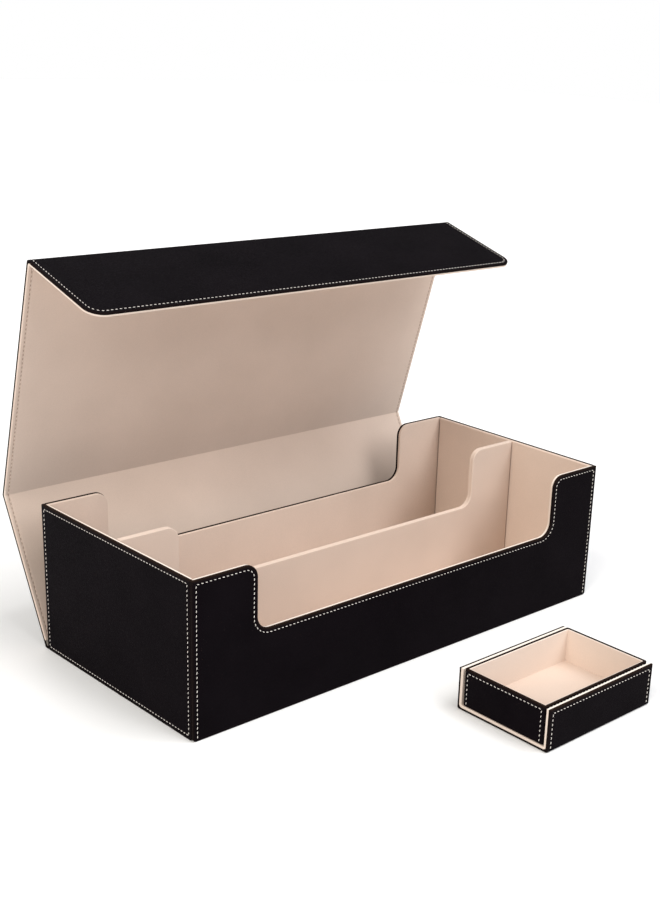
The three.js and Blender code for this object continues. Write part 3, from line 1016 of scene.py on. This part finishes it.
def make_sleeve():
    low, high = corners("sleeve_skin")
    middle, half = (low + high) / 2, (high - low) / 2
    top = high[2]
    skin = corners("sleeve_lining")[0][2] - GLUE_GAP
    wall = half[1] - inner_reach("sleeve_lining", middle)
    outer = channel_path(middle[1], half[1], 0, top, SLEEVE_CORNER, 1)
    leather = swept_sheet("sleeve_leather", outer, half[0], skin, LEATHER_MAT, LEATHER_EDGE, GROOVE_DEPTH,
                          free_ends=True, pan=True)
    leather.data.transform(Matrix.Translation((middle[0], 0, 0)))
    finish_piece(leather, "sleeve", "leather_black", "sleeve_skin")
    inner = channel_path(middle[1], half[1] - wall, wall, top, SLEEVE_INNER_CORNER, -1)
    cloth = swept_sheet("sleeve_cloth", inner, half[0] - CLOTH_GAP, wall - skin - SEAM, CLOTH_MAT,
                        CLOTH_EDGE, free_ends=True)
    cloth.data.transform(Matrix.Translation((middle[0], 0, -SLEEVE_CLOTH_DROP)))
    finish_piece(cloth, "sleeve", "lining_beige", "sleeve_lining")
    runs = []
    for side in (-1, 1):
        plane = long_side(middle, half, side, 0)
        runs += arch_runs(plane, half[0] - STITCH_INSET, SLEEVE_STITCH_FOOT, top - STITCH_INSET)
    finish_piece(stitching("sleeve_stitching", runs, WHITE_THREAD), "sleeve", "leather_black")


SMALL_CORNER = 1.4 * MM
SMALL_CLOTH_CORNER = 2.7 * MM
SMALL_CLOTH_EDGE = 0.35 * MM
SMALL_CLOTH_DROP = 0.35 * MM
SMALL_FLOOR_STEP = 0.1 * MM
SMALL_STITCH_FOOT = 0.8 * MM
SMALL_STITCH_DEPTH = 0.05 * MM
LONG_SIDE_STITCH_INSET = 1.7 * MM
TOP_ANGLES = np.radians((90, 70, 50, 30, 10, 0))
FOOT_ANGLES = np.radians((0, 30, 60, 90))
CLOTH_ANGLES = np.radians((30, 60, 90))
WALL_GROOVE_SPOTS = (-2.2, -1.2, -0.6, 0, 0.6, 1.2, 2.2)


def small_leather_profile(tall, skin):
    """(inset, height) from the tray's inside floor, up behind the wall, over its rim and down outside."""
    edge = LEATHER_EDGE
    profile = [(LEATHER, LEATHER), (LEATHER, tall - LEATHER), (skin, tall - LEATHER), (skin, tall - SEAM)]
    profile += [(edge * (1 - math.cos(a)), tall - edge * (1 - math.sin(a))) for a in TOP_ANGLES]
    profile += [(GROOVE_DEPTH * math.exp(-k * k), tall - STITCH_INSET - k * GROOVE_HALF_WIDTH)
                for k in WALL_GROOVE_SPOTS]
    return profile + [(edge * (1 - math.cos(a)), edge * (1 - math.sin(a))) for a in FOOT_ANGLES]


def small_cloth_profile(tall, skin, wall):
    """(inset, height) from under the lining, up against the wall, over its edge and down to its floor."""
    edge = SMALL_CLOTH_EDGE
    inside, shoulder = skin + SEAM, tall - SMALL_CLOTH_DROP - edge
    profile = [(inside, inside), (inside, shoulder)]
    profile += [(inside + edge * (1 - math.cos(a)), shoulder + edge * math.sin(a)) for a in CLOTH_ANGLES]
    profile += [(wall - edge * (1 - math.sin(a)), shoulder + edge * math.cos(a)) for a in CLOTH_ANGLES]
    step = SMALL_FLOOR_STEP
    return profile + [(wall, wall + edge), (wall + step, wall + step), (wall + edge, wall)]


def make_small_tray():
    low, high = corners("small_tray_skin")
    middle, half = (low + high) / 2, (high - low) / 2
    tall = high[2] - low[2]
    skin = corners("small_tray_lining")[0][0] - low[0] - GLUE_GAP
    wall = half[1] - inner_reach("small_tray_lining", middle)
    plane = Plane((middle[0], middle[1], low[2]), (1, 0, 0), (0, 1, 0), (0, 0, 1))

    # The painted highlight along the top of the tray's walls, fading out below the rim.
    def rim_at(_, height):
        return max(0.0, 1 - (tall - height) / RIM_HIGHLIGHT_FADE)

    def layer(name, corner, profile, material):
        rectangle = rounded_rectangle(-half[0], half[0], -half[1], half[1], (corner,) * 4)
        return lofted_panel(name, plane, rectangle, profile, material, rim_at, shade_groove=False)

    leather = layer("small_tray_leather", SMALL_CORNER, small_leather_profile(tall, skin), LEATHER_MAT)
    finish_piece(leather, "small_tray", "leather_black", "small_tray_skin")
    cloth = layer("small_tray_cloth", SMALL_CLOTH_CORNER, small_cloth_profile(tall, skin, wall), CLOTH_MAT)
    finish_piece(cloth, "small_tray", "lining_beige", "small_tray_lining")
    runs = []
    u, v = half[:2] - STITCH_INSET
    top, long_top = tall - STITCH_INSET, tall - LONG_SIDE_STITCH_INSET
    for side in (-1, 1):
        end = Plane((middle[0] + side * half[0], middle[1], low[2]), (0, 1, 0), (0, 0, 1), (-side, 0, 0))
        runs += arch_runs(end, v, SMALL_STITCH_FOOT, top, SMALL_STITCH_DEPTH)
        spots = [(-u, long_top), (u, long_top)]
        runs.append(flat_run(long_side(middle, half, side, low[2]), spots, SMALL_STITCH_DEPTH))
    finish_piece(stitching("small_tray_stitching", runs, WHITE_THREAD), "small_tray", "leather_black")


# ---------------------------------------------------------------- stage and light
FLOOR_HALF = 6.0
FLOOR_DROP = 0.2 * MM
FLOOR_WHITE = (0.93, 0.93, 0.93, 1)
FLOOR_ROUGHNESS = 0.9
FLOOR_SHINE = 0.05


def make_stage():
    mesh = bpy.data.meshes.new("floor")
    square = [(x * FLOOR_HALF, y * FLOOR_HALF, 0) for x, y in ((-1, -1), (1, -1), (1, 1), (-1, 1))]
    mesh.from_pydata(square, [], [(0, 1, 2, 3)])
    floor = bpy.data.objects.new("floor", mesh)
    floor.location.z = -FLOOR_DROP
    bpy.context.scene.collection.objects.link(floor)
    material = bpy.data.materials.new("floor_white")
    material.use_nodes = True
    surface = material.node_tree.nodes["Principled BSDF"]
    surface.inputs["Base Color"].default_value = FLOOR_WHITE
    surface.inputs["Roughness"].default_value = FLOOR_ROUGHNESS
    surface.inputs["Specular IOR Level"].default_value = FLOOR_SHINE
    mesh.materials.append(material)


def sun_light(name, towards, softness, strength, colour):
    """A far soft light. towards points from the object to the light. softness is its width in degrees."""
    data = bpy.data.lights.new(name, "SUN")
    data.angle = math.radians(softness)
    data.energy = strength
    data.color = colour
    light = bpy.data.objects.new(name, data)
    light.rotation_mode = "QUATERNION"
    light.rotation_quaternion = Vector(towards).to_track_quat("Z", "Y")
    bpy.context.scene.collection.objects.link(light)


SKY_LIGHT = 0.5
SKY_COLOUR = (0.96, 0.97, 1.0, 1)
WHITE = (1, 1, 1, 1)
# Each light's direction, width in degrees, strength and colour.
LIGHTS = {
    "overhead": ((0.4, -0.45, 1.0), 36, 1.45, (1, 1, 1)),
    "left_fill": ((-1.0, -0.2, 0.8), 36, 1.9, (1.0, 0.95, 0.86)),
    "front_fill": ((0.1, -1.0, 0.75), 26, 0.9, (1, 1, 1)),
    "back_fill": ((0.3, 1.0, 0.45), 40, 0.35, (1, 1, 1)),
}


def make_light():
    """A faint sky that the camera sees as plain white, and four far lights."""
    world = bpy.data.worlds.new("studio")
    bpy.context.scene.world = world
    world.use_nodes = True
    background = world.node_tree.nodes["Background"]
    nodes, links = world.node_tree.nodes, world.node_tree.links
    background.inputs["Color"].default_value = SKY_COLOUR
    background.inputs["Strength"].default_value = SKY_LIGHT
    backdrop = nodes.new("ShaderNodeBackground")
    backdrop.inputs["Color"].default_value = WHITE
    seen = nodes.new("ShaderNodeLightPath")
    choice = nodes.new("ShaderNodeMixShader")
    links.new(seen.outputs["Is Camera Ray"], choice.inputs["Fac"])
    links.new(background.outputs["Background"], choice.inputs[1])
    links.new(backdrop.outputs["Background"], choice.inputs[2])
    links.new(choice.outputs["Shader"], nodes["World Output"].inputs["Surface"])
    for name, (towards, softness, strength, colour) in LIGHTS.items():
        sun_light(name, towards, softness, strength, colour)
    view = bpy.context.scene.view_settings
    view.view_transform = "Standard"
    view.look = "None"


make_stage()
make_light()
for wall in ("front", "back"):
    make_notched_wall(wall)
for wall in ("left_end", "right_end"):
    make_end_wall(wall)
make_base()
make_divider()
lid_back, lid_top, flap = lid_panels()
make_hinge(lid_back)
make_lid_panel(lid_back, CREASE, lid_back.length - CREASE)
make_lid_panel(lid_top, CREASE, lid_top.length - CREASE)
make_flap(flap)
make_crease("top_crease", lid_back, lid_top)
make_crease("flap_crease", lid_top, flap)
make_sleeve()
make_small_tray()
